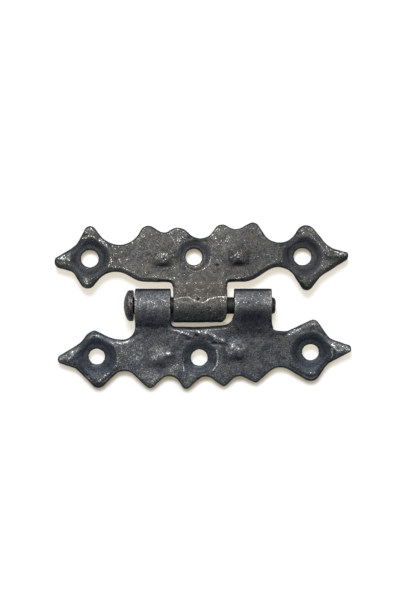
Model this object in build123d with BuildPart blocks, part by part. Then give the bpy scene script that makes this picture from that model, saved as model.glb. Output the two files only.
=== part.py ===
from build123d import *
from math import asin, atan2, cos, hypot, radians, sin, tan
import os

# Decorative star hinge: two leaves of wrought sheet on one rivet.
# Millimetres. X runs along the rivet, Y across the leaves, Z is up from the table.
# The hinge lies open, front up: the knuckles and the outer edge of each leaf touch Z = 0.

# Sheet, rivet and knuckles
sheet = 2.0
pin_diameter = 4.0
pin_clearance = 0.05
rise_angle = 45.0
roll_angle = 245.0
bend_radius = 0.9
edge_bevel = 0.65

# Knuckles along the rivet
centre_knuckle_left = -7.05
centre_knuckle_length = 12.75
left_gap = 0.65
right_gap = 1.7
left_knuckle_length = 8.5
right_knuckle_length = 8.9
corner_rounding_left = 1.0
corner_rounding_right = 3.0

# Rivet ends
head_diameter = 7.5
head_rim = 0.85
head_height = 2.35
head_play = 0.35
tail_length = 1.0
tail_rounding = 0.7

# Screw holes: a bore at the bottom of a hammered dish
hole_diameter = 4.3
star_dish_diameter = 9.6
star_dish_depth = 1.2
middle_dish_diameter = 8.3
middle_dish_depth = 0.95
dish_curve = 5.0

# Middle hole of each leaf, measured from the edge of the barrel, and the outer holes from it
upper_middle_x = -2.2
upper_middle_reach = 7.7
upper_pitch_left = 24.9
upper_pitch_right = 26.0
upper_rise_left = -0.35
upper_rise_right = 0.15
lower_middle_x = -0.9
lower_middle_reach = 8.6
lower_pitch_left = 24.5
lower_pitch_right = 26.6
lower_rise_left = -0.25
lower_rise_right = -1.3

# Inner edges of the leaves, measured from the edge of the barrel
upper_wing_gap = 1.65
upper_wing_slope_left = 0.1
upper_wing_slope_right = 0.2
lower_notch_gap = 1.3
lower_notch_left_gap = 1.05
lower_notch_right_gap = 0.6
lower_left_root_gap = 4.8
lower_right_root_gap = 1.95

# Outer edges of the leaves, measured from the edge of the barrel to the highest crest and lowest point
upper_crest_reach = 16.7
lower_point_reach = 16.7

# Arms of the stars, measured from the hole to the corner at the arm's end, in outline units
upper_left_tip = 10.4
upper_left_top = 9.1
upper_left_bottom = 8.55
upper_right_tip = 12.4
upper_right_top = 9.65
upper_right_bottom = 9.2
lower_left_tip = 10.9
lower_left_top = 6.4
lower_left_bottom = 8.4
lower_right_tip = 11.1
lower_right_top = 8.3
lower_right_bottom = 7.85

# One unit of the hammered outlines, how far they run past the barrel, how wide the foot of a strap
# spreads, and how much longer a straight run is than the two roundings at its ends need
outline_unit = 1.0
strap_overrun = 0.5
strap_root = 3.4
run_slack = 1.01

# Punched bumps: four-sided, one each side of the middle hole
bump_width = 4.3
upper_bump_height = 1.0
lower_bump_height = 0.5
bump_taper = 52.0
bump_rounding = 0.35
upper_bump_left = 7.3
upper_bump_right = 10.75
upper_bump_drop = 0.2
lower_bump_left = 9.5
lower_bump_right = 8.75
lower_bump_drop_left = 0.25
lower_bump_drop_right = 2.35

# Worked-out sizes
bore_radius = pin_diameter / 2 + pin_clearance
barrel_radius = bore_radius + sheet
centre_knuckle_right = centre_knuckle_left + centre_knuckle_length
left_knuckle_right = centre_knuckle_left - left_gap
left_knuckle_left = left_knuckle_right - left_knuckle_length
right_knuckle_left = centre_knuckle_right + right_gap
right_knuckle_right = right_knuckle_left + right_knuckle_length
strap_end = -barrel_radius - strap_overrun

# Where the strap leaves the flat of the leaf, in front and behind, and where its bend begins
rise = radians(rise_angle)
front_bend = ((barrel_radius - sheet / 2 * cos(rise)) / sin(rise), sheet / 2)
back_bend = ((bore_radius + sheet / 2 * cos(rise)) / sin(rise), -sheet / 2)
bend_start = front_bend[0] + bend_radius * tan(rise / 2)

# Hole centres as (x, distance from the rivet's axis)
upper_middle = (upper_middle_x, barrel_radius + upper_middle_reach)
upper_left = (upper_middle[0] - upper_pitch_left, upper_middle[1] + upper_rise_left)
upper_right = (upper_middle[0] + upper_pitch_right, upper_middle[1] + upper_rise_right)
lower_middle = (lower_middle_x, barrel_radius + lower_middle_reach)
lower_left = (lower_middle[0] - lower_pitch_left, lower_middle[1] + lower_rise_left)
lower_right = (lower_middle[0] + lower_pitch_right, lower_middle[1] + lower_rise_right)

upper_bumps = [
    (upper_middle[0] - upper_bump_left, upper_middle[1] - upper_bump_drop),
    (upper_middle[0] + upper_bump_right, upper_middle[1] - upper_bump_drop),
]
lower_bumps = [
    (lower_middle[0] - lower_bump_left, lower_middle[1] - lower_bump_drop_left),
    (lower_middle[0] + lower_bump_right, lower_middle[1] - lower_bump_drop_right),
]


def about(centre, corners):
    """Corners of the outline about a place of the leaf, given as (x, y, rounding) in outline units."""
    unit = outline_unit
    return [(centre[0] + unit * x, centre[1] + unit * y, unit * rounding) for x, y, rounding in corners]


def between(first, second):
    """The point halfway between two holes, where a leaf has its neck."""
    return ((first[0] + second[0]) / 2, (first[1] + second[1]) / 2)


# Upper leaf, clockwise from its left tip: star, neck, waved crest, neck, star, wings and strap
upper_wing = barrel_radius + upper_wing_gap
upper_crest = (upper_middle[0], barrel_radius + upper_crest_reach)
upper_corners = [
    *about(upper_left, [(-upper_left_tip, -1.5, 1.4), (-3.15, 3.3, 4.0), (-0.25, upper_left_top, 1.4)]),
    *about(between(upper_left, upper_middle), [(-4.15, -1.8, 5.5)]),
    *about(upper_crest, [(-11.8, -0.45, 1.95)]),
    *about(upper_middle, [(-7.2, 5.55, 2.0)]),
    *about(upper_crest, [(-3.4, -1.05, 3.0)]),
    *about(upper_middle, [(1.8, 2.75, 3.5)]),
    *about(upper_crest, [(6.3, -0.45, 1.85)]),
    *about(upper_middle, [(9.95, 6.35, 2.7)]),
    *about(upper_crest, [(14.7, 0.0, 1.7)]),
    *about(between(upper_right, upper_middle), [(7.7, -0.9, 4.4)]),
    *about(upper_right, [(0.6, upper_right_top, 2.5), (6.25, 2.25, 5.0), (upper_right_tip, 0.3, 1.05)]),
    *about(upper_right, [(4.4, -4.65, 5.0), (0.8, -upper_right_bottom, 1.45)]),
    *about(between(upper_right, upper_middle), [(8.65, -0.6, 4.5)]),
    *about((upper_middle[0], upper_wing + upper_wing_slope_right), [(13.55, 0.0, 5.0)]),
    *about((centre_knuckle_right, upper_wing), [(0.0, 0.0, 0.4)]),
    (centre_knuckle_right, strap_end, corner_rounding_right),
    (centre_knuckle_left, strap_end, corner_rounding_left),
    *about((centre_knuckle_left, upper_wing), [(0.0, 0.0, 1.3)]),
    *about((upper_middle[0], upper_wing + upper_wing_slope_left), [(-12.9, 0.0, 6.0)]),
    *about(between(upper_left, upper_middle), [(-7.7, -1.8, 5.3)]),
    *about(upper_left, [(-0.6, -upper_left_bottom, 1.85), (-4.0, -3.15, 2.0)]),
]

# Lower leaf, from its left tip along the knuckles and the bowed notch, then back along the pointed edge
lower_notch = barrel_radius + lower_notch_gap
lower_point = (lower_middle[0], barrel_radius + lower_point_reach)
lower_corners = [
    *about(lower_left, [(-lower_left_tip, 0.95, 1.05), (-4.05, -3.15, 4.0), (-2.15, -5.6, 2.0)]),
    *about(lower_left, [(-0.6, -lower_left_top, 0.8), (3.6, -4.25, 6.0)]),
    *about((left_knuckle_left, barrel_radius + lower_left_root_gap), [(0.0, 0.0, 3.2)]),
    (left_knuckle_left, strap_end, 0.0),
    (left_knuckle_right, strap_end, 0.0),
    *about((left_knuckle_right, barrel_radius + lower_notch_left_gap), [(0.0, 0.0, 1.2)]),
    *about((lower_middle[0], lower_notch), [(-1.5, 0.0, 12.0)]),
    *about((right_knuckle_left, barrel_radius + lower_notch_right_gap), [(0.0, 0.0, 3.0)]),
    (right_knuckle_left, strap_end, 0.0),
    (right_knuckle_right, strap_end, 0.0),
    *about((right_knuckle_right, barrel_radius + lower_right_root_gap), [(0.0, 0.0, 1.3)]),
    *about(lower_right, [(-5.75, -4.95, 2.5), (1.15, -lower_right_top, 1.5), (4.65, -3.3, 3.0)]),
    *about(lower_right, [(lower_right_tip, -1.0, 0.9), (4.0, 2.8, 3.0), (0.85, lower_right_bottom, 2.4)]),
    *about(between(lower_right, lower_middle), [(5.8, 2.0, 3.9)]),
    *about(lower_point, [(13.7, -1.85, 0.8)]),
    *about(lower_middle, [(9.25, 4.0, 2.2)]),
    *about(lower_point, [(5.9, -0.9, 0.8)]),
    *about(lower_middle, [(1.35, 3.85, 2.3)]),
    *about(lower_point, [(-3.3, 0.0, 1.0)]),
    *about(lower_middle, [(-6.65, 3.05, 2.6)]),
    *about(lower_point, [(-11.8, -0.15, 1.3)]),
    *about(between(lower_left, lower_middle), [(-5.7, 2.0, 3.3)]),
    *about(lower_left, [(0.25, lower_left_bottom, 1.85), (-5.0, 2.9, 2.0)]),
]


def plan(corners, side):
    """Outline of a leaf seen from the front, flat; side is 1 for the upper leaf and -1 for the lower.

    Where two roundings meet on one run, both are limited to what the run has room for.
    """
    points = [Vector(x, side * reach) for x, reach, rounding in corners]
    count = len(points)
    runs = [points[(i + 1) % count] - points[i] for i in range(count)]
    turns = [radians(runs[i - 1].get_angle(runs[i])) for i in range(count)]
    taken = [corners[i][2] * tan(turns[i] / 2) for i in range(count)]
    wanted = [taken[i] + taken[(i + 1) % count] for i in range(count)]
    room = [run.length / max(run_slack * want, run.length) for run, want in zip(runs, wanted)]
    roundings = [corners[i][2] * min(room[i - 1], room[i]) for i in range(count)]
    with BuildSketch() as outline:
        with BuildLine():
            FilletPolyline(*points, radius=roundings, close=True)
        make_face()
    return outline.sketch


def lying_plane(reach, side):
    """Mid-plane of a leaf that slopes from the barrel until its outer edge touches the table."""
    tilt = asin(barrel_radius / hypot(reach, sheet / 2)) - atan2(sheet / 2, reach)
    return Plane((0, 0, barrel_radius), x_dir=(1, 0, 0), z_dir=(0, side * sin(tilt), cos(tilt)))


def on_circle(radius, angle):
    """Point of the roll, its angle counted from the crest towards the leaf."""
    return (radius * sin(radians(angle)), radius * cos(radians(angle)))


def strap_section(section_plane):
    """Section of a strap: flat sheet, a bend, a rise to the crest and the roll round the rivet."""
    flat = bend_start + sheet
    far_side = (rise_angle - roll_angle) / 2
    with BuildSketch(section_plane) as section:
        with BuildLine():
            Polyline((flat, -sheet / 2), (flat, sheet / 2), front_bend, on_circle(barrel_radius, rise_angle))
            ThreePointArc(
                on_circle(barrel_radius, rise_angle),
                on_circle(barrel_radius, far_side),
                on_circle(barrel_radius, -roll_angle),
            )
            Line(on_circle(barrel_radius, -roll_angle), on_circle(bore_radius, -roll_angle))
            ThreePointArc(
                on_circle(bore_radius, -roll_angle),
                on_circle(bore_radius, far_side),
                on_circle(bore_radius, rise_angle),
            )
            Polyline(on_circle(bore_radius, rise_angle), back_bend, (flat, -sheet / 2))
        make_face()
        fillet(section.vertices().sort_by_distance(front_bend)[0], radius=bend_radius)
        fillet(section.vertices().sort_by_distance(back_bend)[0], radius=bend_radius + sheet)
    return section.sketch


def straps(leaf_plane, outline, side, ends):
    """The straps of a leaf, rolled round the rivet and cut to the leaf's outline."""
    across = leaf_plane.y_dir * side
    start = leaf_plane.from_local_coords((ends[0], 0, 0))
    with BuildPart() as rolled:
        section = strap_section(Plane(start, x_dir=across, z_dir=across.cross(leaf_plane.z_dir)))
        extrude(section, amount=ends[1] - ends[0], dir=(1, 0, 0))
        extrude(leaf_plane * outline, amount=2 * barrel_radius, both=True, mode=Mode.INTERSECT)
    return rolled.part


def flat_of_straps(side, ends):
    """The flat ground that the straps rise from, to be taken out of the flat sheet."""
    middle = (ends[0] + ends[1]) / 2
    with BuildSketch() as ground:
        with Locations((middle, side * (bend_start + 2 * strap_end) / 2)):
            Rectangle(ends[1] - ends[0], bend_start - 2 * strap_end)
    return ground.sketch


def dish(leaf_plane, centre, side, dish_diameter, dish_depth):
    """A screw hole with its dish, to be cut from a leaf."""
    hole = leaf_plane.from_local_coords((centre[0], side * centre[1], 0))
    bore = hole_diameter / 2
    rim = dish_diameter / 2
    lip = (rim, sheet / 2)
    throat = (bore, sheet / 2 - dish_depth)
    with BuildPart() as cut:
        with BuildSketch(Plane(hole, x_dir=(1, 0, 0), z_dir=-leaf_plane.y_dir)):
            with BuildLine():
                RadiusArc(lip, throat, dish_curve)
                Polyline(throat, (bore, -sheet), (0, -sheet), (0, sheet), (rim, sheet), lip)
            make_face()
        revolve(axis=Axis(hole, leaf_plane.z_dir))
    return cut.part


def front_edges(plate, leaf_plane):
    """Edges round the front of a flat plate."""
    return plate.faces().sort_by(Axis(leaf_plane.origin, leaf_plane.z_dir))[-1].edges()


def bump_bases(leaf_plane, centres, side):
    """Square feet of the punched bumps, on the front of a leaf."""
    with BuildSketch(leaf_plane.offset(sheet / 2)) as bases:
        with Locations(*[(x, side * reach) for x, reach in centres]):
            RectangleRounded(bump_width, bump_width, bump_rounding)
    return bases.sketch


upper_plan = plan(upper_corners, 1)
lower_plan = plan(lower_corners, -1)
upper_plane = lying_plane(upper_plan.bounding_box().max.Y, 1)
lower_plane = lying_plane(-lower_plan.bounding_box().min.Y, -1)
upper_ends = (centre_knuckle_left - strap_root, centre_knuckle_right + strap_root)
lower_ends = (left_knuckle_left - strap_root, right_knuckle_right + strap_root)

# Upper leaf
with BuildPart() as upper_leaf:
    extrude(upper_plane * upper_plan, amount=sheet / 2, both=True)
    chamfer(front_edges(upper_leaf, upper_plane), length=edge_bevel)
    extrude(upper_plane * flat_of_straps(1, upper_ends), amount=sheet, both=True, mode=Mode.SUBTRACT)
    add(straps(upper_plane, upper_plan, 1, upper_ends))
    extrude(bump_bases(upper_plane, upper_bumps, 1), amount=upper_bump_height, taper=bump_taper)
    for star in (upper_left, upper_right):
        add(dish(upper_plane, star, 1, star_dish_diameter, star_dish_depth), mode=Mode.SUBTRACT)
    add(dish(upper_plane, upper_middle, 1, middle_dish_diameter, middle_dish_depth), mode=Mode.SUBTRACT)
upper_leaf.part.label = "upper_leaf"

# Lower leaf
with BuildPart() as lower_leaf:
    extrude(lower_plane * lower_plan, amount=sheet / 2, both=True)
    chamfer(front_edges(lower_leaf, lower_plane), length=edge_bevel)
    extrude(lower_plane * flat_of_straps(-1, lower_ends), amount=sheet, both=True, mode=Mode.SUBTRACT)
    add(straps(lower_plane, lower_plan, -1, lower_ends))
    extrude(bump_bases(lower_plane, lower_bumps, -1), amount=lower_bump_height, taper=bump_taper)
    for star in (lower_left, lower_right):
        add(dish(lower_plane, star, -1, star_dish_diameter, star_dish_depth), mode=Mode.SUBTRACT)
    add(dish(lower_plane, lower_middle, -1, middle_dish_diameter, middle_dish_depth), mode=Mode.SUBTRACT)
lower_leaf.part.label = "lower_leaf"

# Rivet, turned about its axis: domed head at the left, plain end rounded over at the right
head_seat = left_knuckle_left - head_play
tail_tip = right_knuckle_right + tail_length
with BuildPart() as hinge_pin:
    with BuildSketch(Plane((0, 0, barrel_radius), x_dir=(1, 0, 0), z_dir=(0, -1, 0))) as pin_section:
        with BuildLine():
            crown = (head_seat - head_height, 0)
            rim = (head_seat - head_rim, head_diameter / 2)
            dome_height = head_height - head_rim
            dome_radius = (dome_height**2 + (head_diameter / 2) ** 2) / (2 * dome_height)
            RadiusArc(crown, rim, dome_radius)
            Polyline(rim, (head_seat, head_diameter / 2), (head_seat, pin_diameter / 2))
            Line((head_seat, pin_diameter / 2), (tail_tip - tail_rounding, pin_diameter / 2))
            RadiusArc(
                (tail_tip - tail_rounding, pin_diameter / 2),
                (tail_tip, pin_diameter / 2 - tail_rounding),
                tail_rounding,
            )
            Polyline((tail_tip, pin_diameter / 2 - tail_rounding), (tail_tip, 0), crown)
        make_face()
    revolve(axis=Axis((0, 0, barrel_radius), (1, 0, 0)))
hinge_pin.part.label = "hinge_pin"

os.makedirs("parts", exist_ok=True)
export_step(upper_leaf.part, "parts/upper_leaf.step")
export_step(lower_leaf.part, "parts/lower_leaf.step")
export_step(hinge_pin.part, "parts/hinge_pin.step")
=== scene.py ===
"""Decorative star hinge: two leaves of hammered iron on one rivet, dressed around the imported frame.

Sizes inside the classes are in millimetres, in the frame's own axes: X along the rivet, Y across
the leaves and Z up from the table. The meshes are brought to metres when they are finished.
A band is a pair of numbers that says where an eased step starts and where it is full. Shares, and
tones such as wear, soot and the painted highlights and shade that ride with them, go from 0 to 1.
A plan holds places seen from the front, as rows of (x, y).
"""

import logging
import math
from dataclasses import dataclass
from enum import Enum

import bmesh
import bpy
import numpy as np
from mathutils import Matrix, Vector, kdtree, noise


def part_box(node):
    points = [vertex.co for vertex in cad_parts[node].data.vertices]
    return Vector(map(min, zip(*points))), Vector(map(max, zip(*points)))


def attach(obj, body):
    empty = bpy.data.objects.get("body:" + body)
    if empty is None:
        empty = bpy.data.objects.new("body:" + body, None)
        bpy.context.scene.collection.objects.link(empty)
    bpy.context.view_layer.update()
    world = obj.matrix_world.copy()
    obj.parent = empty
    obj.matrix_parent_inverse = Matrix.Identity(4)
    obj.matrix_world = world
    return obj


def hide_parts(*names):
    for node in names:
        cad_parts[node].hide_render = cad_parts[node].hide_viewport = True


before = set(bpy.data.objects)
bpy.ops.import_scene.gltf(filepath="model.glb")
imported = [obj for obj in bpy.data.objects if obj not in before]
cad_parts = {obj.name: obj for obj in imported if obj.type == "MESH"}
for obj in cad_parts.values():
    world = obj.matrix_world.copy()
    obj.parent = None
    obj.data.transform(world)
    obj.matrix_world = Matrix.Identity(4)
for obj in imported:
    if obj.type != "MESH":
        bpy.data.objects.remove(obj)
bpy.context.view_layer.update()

MM = 0.001  # metres in a millimetre
WELD = 0.001  # how near two points are one point
TINY = 1e-6  # keeps a length from being 0
NOISE_ROUGHNESS = 0.6  # share of each finer layer of a noise

log = logging.getLogger("star_hinge")

Array = np.ndarray
Point = tuple[float, float]
Band = tuple[float, float]
Colour = tuple[float, float, float]
Socket = bpy.types.NodeSocket


class LeafSide(Enum):
    """The side of the rivet that a leaf lies on, as the sign of its Y."""

    UPPER = 1
    LOWER = -1


class Trace(Enum):
    """What the forge and the hand left on the iron, with painted highlights, shade and sheen, kept as a
    value at each point of a mesh.
    """

    WEAR_AND_HIGHLIGHT = "wear_and_highlight"
    SOOT = "soot_and_shade"
    SCALE = "scale"
    COPPER_AND_SHEEN = "copper_and_sheen"


def smooth_step(values: Array, low: float, high: float) -> Array:
    """Values eased from 0 at and below low to 1 at and above high."""
    share = np.clip((values - low) / (high - low), 0.0, 1.0)
    return share * share * (3.0 - 2.0 * share)


def grain(points: Array, size: float, octaves: int, shift: float = 0.0) -> Array:
    """Noise at each point, about -1 to 1, in lumps of one size with finer octaves, moved by a shift."""
    offset = Vector((shift, 2.0 * shift, -shift))
    return np.array([noise.fractal(Vector(p) + offset, 1.0, 2.0, octaves) for p in points / size])


def distance_to_line(plan: Array, line: tuple[Point, ...]) -> Array:
    """Distance from places in plan to a bent line.

    Args:
        plan: Places as rows of (x, y).
        line: Corners of the line.

    Returns:
        The distance from each place to the nearest run of the line.
    """
    nearest = np.full(len(plan), np.inf)
    for start, end in zip(line, line[1:]):
        first = np.array(start)
        run = np.array(end) - first
        along = np.clip(((plan - first) @ run) / (run @ run), 0.0, 1.0)
        nearest = np.minimum(nearest, np.linalg.norm(plan - first - along[:, None] * run, axis=1))
    return nearest


def put_in_scene(name: str, data: bpy.types.ID) -> bpy.types.Object:
    """Puts a mesh, lamp or camera in the scene, at the origin.

    Args:
        name: Name of the object.
        data: What it holds.

    Returns:
        The object.
    """
    holder = bpy.data.objects.new(name, data)
    bpy.context.scene.collection.objects.link(holder)
    return holder


@dataclass(frozen=True)
class Ridge:
    """A crest that the hammer left standing, as a bent line seen from the front; one with no height only
    paints a highlight or a sheen along the line.
    """

    line: tuple[Point, ...]  # corners of the crest, as (x, y)
    height: float  # how far it stands up
    spread: float  # how far its flanks reach
    wear_and_highlight: float = 0.0  # how far the crest is rubbed bright, with a painted highlight where it has no height
    copper_and_sheen: float = 0.0  # how far it shows the warm colour of bare scale, with a painted sheen where it has no height
    lumps: float = 1.0  # how uneven it is
    # How the iron's roughness makes lumps: its gain, how far they sink, and their lowest and highest
    GAIN, SINK, LUMP_RANGE = 0.7, 0.2, (-1.0, 0.6)

    def share(self, plan: Array) -> Array:
        """How much of the ridge is at each place of the plan, from 0 to 1."""
        return np.exp(-((distance_to_line(plan, self.line) / self.spread) ** 2))

    def rise(self, plan: Array, rough: Array) -> Array:
        """How far the ridge stands up at each place of the plan, where rough is the iron's roughness."""
        uneven = np.clip(self.GAIN * rough - self.SINK, *self.LUMP_RANGE)
        return self.height * self.share(plan) * (1.0 + self.lumps * uneven)


@dataclass(frozen=True)
class Patch:
    """An oval part of the front or of the table."""

    centre: Point  # its middle, as (x, y)
    reach: Point  # half-widths along X and Y

    def offsets(self, plan: Array) -> Array:
        """Where each place lies from the middle, in half-widths along X and Y."""
        return (plan - np.array(self.centre)) / np.array(self.reach)

    def bell(self, plan: Array) -> Array:
        """How much of the patch is at each place, fading outwards from 1 in its middle."""
        return np.exp(-(self.offsets(plan) ** 2).sum(axis=1))


@dataclass(frozen=True)
class HollowAndShade(Patch):
    """A pocket or pit struck into the front, or a darker patch where it has no depth; some of those
    patches are painted shade.
    """

    depth: float  # how deep it is
    soot_and_shade: float = 0.0  # how dark it is, with soot and painted shade


@dataclass(frozen=True)
class FleckPatch(Patch):
    """A patch of the front that is scattered with bright flecks."""

    wear_and_highlight: float  # how bright it is, or below 0 for a patch that is smoother than the rest


@dataclass(frozen=True)
class Softening(Patch):
    """A place where the hammer rounded off what the press had left sharp."""

    share: float = 1.0  # how far it goes
    BAND = (-1.2, -0.7)  # in half-widths towards the middle

    def softening(self, plan: Array) -> Array:
        """How far each place is rounded off, from 0 to 1."""
        return self.share * smooth_step(-np.linalg.norm(self.offsets(plan), axis=1), *self.BAND)


@dataclass(frozen=True)
class Bevel(Patch):
    """A stretch of the outline whose edge was hammered down to a broad slope."""

    width: float  # width of the slope
    drop: float  # how far the slope falls
    plain: float = 0.0  # how far the press had left that stretch without a slope
    BAND = (-1.25, -0.85)  # in half-widths towards the middle

    def zone(self, plan: Array) -> Array:
        """How far each place belongs to the stretch, from 0 to 1."""
        return smooth_step(-np.abs(self.offsets(plan)).max(axis=1), *self.BAND)

    def fall(self, plan: Array, edge: Array) -> Array:
        """How far the front falls at each place, where edge is its distance to the outline."""
        return self.drop * self.zone(plan) * np.clip(1.0 - edge / self.width, 0.0, 1.0)


@dataclass(frozen=True)
class Dish:
    """A screw hole at the bottom of a hammered dish."""

    centre: Point  # the hole's middle, as (x, y)
    rim: float  # radius of the dish at its rim
    lip: float  # how far the rim stands up
    spread: float  # how far the rim's flanks reach
    wear_and_highlight: float  # how far the rim is rubbed bright
    scale: float = 0.7  # how far fire scale and painted shade cover the dish
    north_shade: float = 0.0  # how far the painted shade gathers on the dish's north wall, which faces away from the light
    fill: float = 0.0  # how far its floor is beaten up again
    hole: float = 2.15  # radius of the hole
    # The rim's lumps: their size and finer layers, how far they shift it, and how much of it they make
    LUMP, OCTAVES, WANDER = 0.55, 2, 0.05
    PLAIN, GAIN, TALLEST = 0.65, 0.7, 1.4
    # The scale and painted shade: how softly they end, where north is in the dish, and how far they take
    # brightness away
    BLUR, NORTH_BAND, DULLING = 0.4, (-0.3, 0.5), 0.4
    # The rounded rim: the bands towards the rim and away from the hole
    RIM_BAND, HOLE_BAND = (-1.5, -0.6), (0.5, 1.2)

    def distance(self, plan: Array) -> Array:
        """Distance of each place from the hole's middle."""
        return np.linalg.norm(plan - np.array(self.centre), axis=1)

    def rim_share(self, plan: Array) -> Array:
        """How much of the rim is at each place, uneven round the dish.

        Args:
            plan: The places.

        Returns:
            From 0 away from the rim to the tallest on it.
        """
        reach = self.distance(plan)
        turn = (plan - np.array(self.centre)) / np.maximum(reach, TINY)[:, None]
        ring = np.column_stack([turn, np.full(len(turn), self.rim)])
        uneven = grain(ring, self.LUMP, self.OCTAVES, self.centre[0])
        away = (reach - self.rim * (1.0 + self.WANDER * uneven)) / self.spread
        return np.exp(-(away ** 2)) * np.clip(self.PLAIN + self.GAIN * uneven, 0.0, self.TALLEST)

    def filling(self, plan: Array) -> Array:
        """How far the floor of the dish is beaten up at each place."""
        return self.fill * smooth_step(-self.distance(plan), -self.rim, -self.hole)

    def scaled_and_shaded(self, plan: Array) -> Array:
        """How far fire scale and painted shade cover each place.

        Args:
            plan: The places.

        Returns:
            From 0 outside the dish to the dish's own share.
        """
        inside = smooth_step(self.rim - self.distance(plan), -self.BLUR, self.BLUR)
        north = smooth_step((plan[:, 1] - self.centre[1]) / self.rim, *self.NORTH_BAND)
        return self.scale * inside * (1.0 - self.north_shade + self.north_shade * north)

    def brightness(self, plan: Array) -> Array:
        """How much brighter the rim's wear makes each place, or how much duller its scale and painted
        shade make it.
        """
        return self.wear_and_highlight * self.rim_share(plan) - self.DULLING * self.scaled_and_shaded(plan)

    def softening(self, plan: Array) -> Array:
        """How far the dish's rim is rounded off at each place, from 0 to 1."""
        clear = smooth_step(self.distance(plan) - self.hole, *self.HOLE_BAND)
        return clear * smooth_step(-np.abs(self.distance(plan) - self.rim), *self.RIM_BAND)


@dataclass(frozen=True)
class Marks:
    """Uneven marks that the hammer left all over a piece."""

    height: float  # height of the marks
    size: float  # width of one mark
    octaves: int  # how many finer layers they have
    shift: float  # moves the pattern, so that two layers differ

    def pattern(self, points: Array) -> Array:
        """The marks at each point, about -1 to 1."""
        return grain(points, self.size, self.octaves, self.shift)

    def lift(self, points: Array) -> Array:
        """How far the marks lift each point."""
        return self.height * self.pattern(points)


class Nodes:
    """Places and joins the nodes of one material or world."""

    def __init__(self, owner: bpy.types.Material | bpy.types.World) -> None:
        """Empties the owner's node tree.

        Args:
            owner: The material or world.
        """
        owner.use_nodes = True
        self.tree = owner.node_tree
        self.tree.nodes.clear()

    def add(self, kind: str, inputs: dict[str | int, object] | None = None,
            **settings: object) -> bpy.types.Node:
        """Adds one node and feeds it.

        Args:
            kind: Its type in Blender, without the first words that all types share.
            inputs: What feeds its inputs, each the output of another node or a plain value.
            settings: Attributes of the node to set.

        Returns:
            The node.
        """
        node = self.tree.nodes.new("ShaderNode" + kind)
        for name, value in settings.items():
            setattr(node, name, value)
        for name, value in (inputs or {}).items():
            target = node.inputs[name]
            if isinstance(value, Socket):
                self.tree.links.new(value, target)
            else:
                target.default_value = (*value, 1.0) if target.type == "RGBA" else value
        return node

    def noise(self, place: Socket, lump: float, detail: float) -> Socket:
        """A noise over the piece's own coordinates, with lumps of one width and some finer layers."""
        lumps = {"Scale": 1.0 / (lump * MM), "Detail": detail, "Roughness": NOISE_ROUGHNESS}
        return self.add("TexNoise", {"Vector": place, **lumps}).outputs["Fac"]

    def ramp(self, value: Socket, low: float, high: float, start: float = 0.0, end: float = 1.0) -> Socket:
        """Eases a value, which gives start at and below low and end at and above high."""
        inputs = {"Value": value, "From Min": low, "From Max": high, "To Min": start, "To Max": end}
        return self.add("MapRange", inputs, interpolation_type="SMOOTHSTEP").outputs["Result"]

    def math(self, operation: str, *values: Socket | float) -> Socket:
        """One sum of some values, kept from 0 to 1."""
        inputs = dict(enumerate(values))
        return self.add("Math", inputs, operation=operation, use_clamp=True).outputs["Value"]

    def mix(self, share: Socket, under: Socket | Colour, over: Colour) -> Socket:
        """Lays a share of one colour over another."""
        inputs = {"Factor": share, "A": under, "B": over}
        return self.add("Mix", inputs, data_type="RGBA").outputs["Result"]

    def trace(self, kind: Trace) -> Socket:
        """The value of one trace of the forge on the piece, with the painted light and shade that it
        carries.
        """
        return self.add("Attribute", attribute_name=kind.value).outputs["Fac"]


@dataclass(frozen=True)
class Pattern:
    """One layer of uneven tone on the iron."""

    lump: float  # width of one lump
    detail: float  # how many finer layers it has
    low: float  # the noise at which the tone starts
    high: float  # the noise at which the tone is full
    share: float = 1.0  # how far the full tone covers

    def tone(self, nodes: Nodes, place: Socket, lift: Socket | float = 0.0) -> Socket:
        """How far the layer covers what is below it, where lift is added to its noise."""
        uneven = nodes.math("ADD", nodes.noise(place, self.lump, self.detail), lift)
        return nodes.ramp(uneven, self.low, self.high, 0.0, self.share)


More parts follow.
